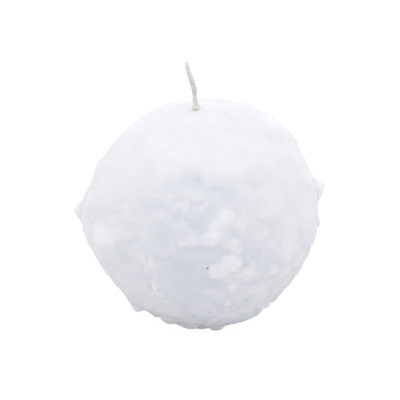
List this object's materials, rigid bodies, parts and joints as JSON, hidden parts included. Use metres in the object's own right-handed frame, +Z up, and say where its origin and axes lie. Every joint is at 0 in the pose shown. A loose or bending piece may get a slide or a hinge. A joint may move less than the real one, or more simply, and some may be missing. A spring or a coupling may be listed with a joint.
{
  "type": "snowball candle",
  "caption": "Ball of rough white wax shaped like a snowball, flattened below to stand, with a bent cotton wick at the top.",
  "frame": {"origin": "middle of the flat spot that the candle stands on, under the ball's middle", "axes": "+Z up, out of the top; -Y to the front, the face that the picture shows; +X to the right as seen from the front"},
  "size_m": [0.0848, 0.0797, 0.0907],
  "materials": {
    "wax": "cool white candle wax, satin, slightly translucent, rough like packed snow",
    "cotton": "braided off-white cotton, waxed at its tip and foot"
  },
  "bodies": {
    "root": {"wax_ball": "wax", "wick": "cotton"}
  },
  "joints": []
}
